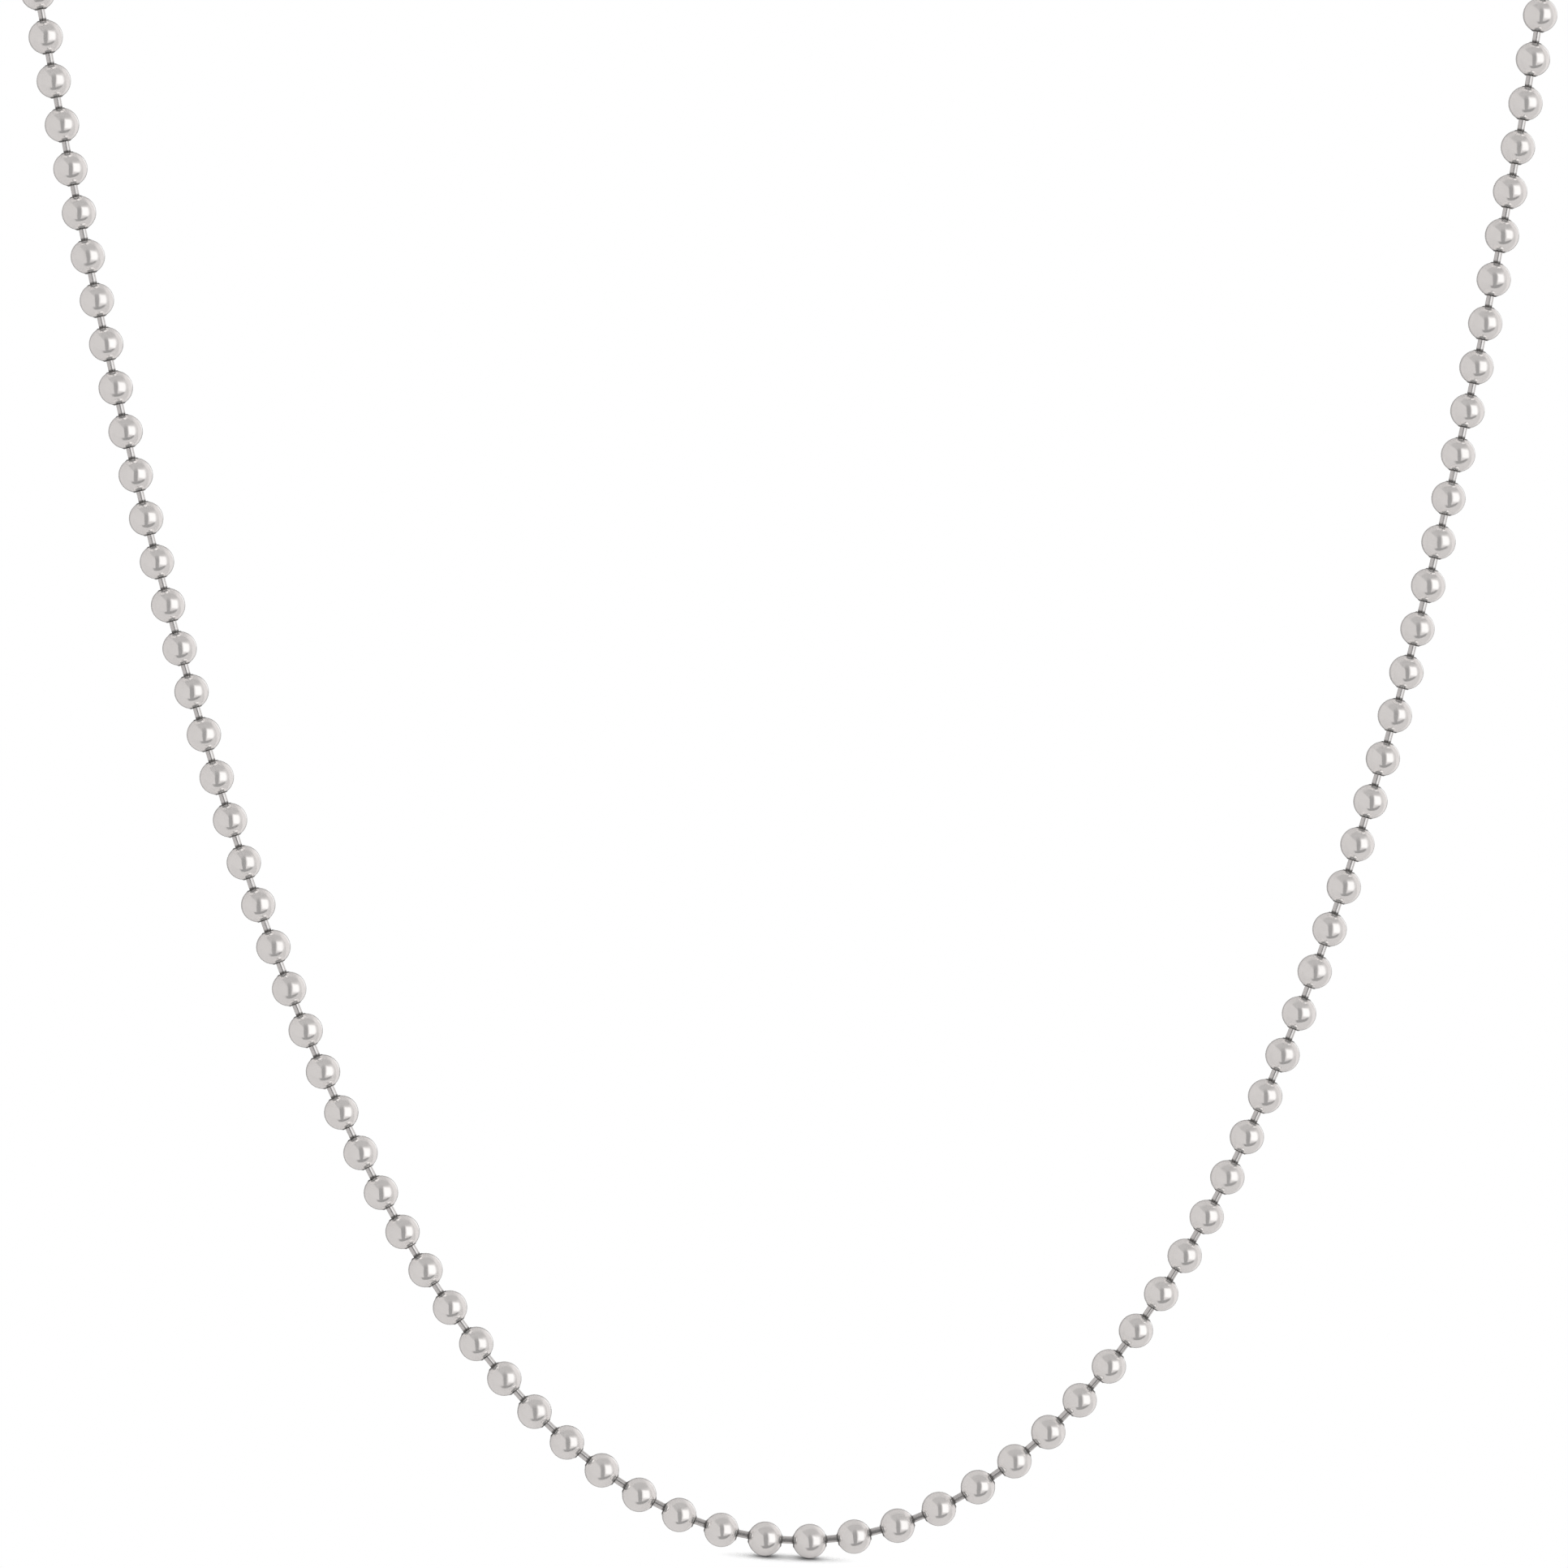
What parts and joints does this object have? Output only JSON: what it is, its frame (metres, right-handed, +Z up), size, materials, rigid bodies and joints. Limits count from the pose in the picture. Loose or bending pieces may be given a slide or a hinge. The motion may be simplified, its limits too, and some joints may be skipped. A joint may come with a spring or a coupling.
{
  "type": "ball chain necklace",
  "caption": "Necklace of hollow polished steel balls linked by loose dumbbell rods, closed by a sleeve clasp, hanging as a deep bow from the nape.",
  "frame": {"origin": "the point on the clasp that lies against the nape, in the middle plane of the front bow", "axes": "+Z up, -Y the way the front of the necklace faces, +X to the right of someone who looks at it"},
  "size_m": [0.1458, 0.0786, 0.1897],
  "materials": {
    "ball_steel": "polished stainless steel",
    "rod_steel": "drawn and polished stainless steel wire",
    "clasp_steel": "stamped and polished stainless steel"
  },
  "bodies": {
    "root": {"balls": "ball_steel", "rods": "rod_steel", "nape_wires": "rod_steel", "clasp": "clasp_steel"}
  },
  "joints": []
}
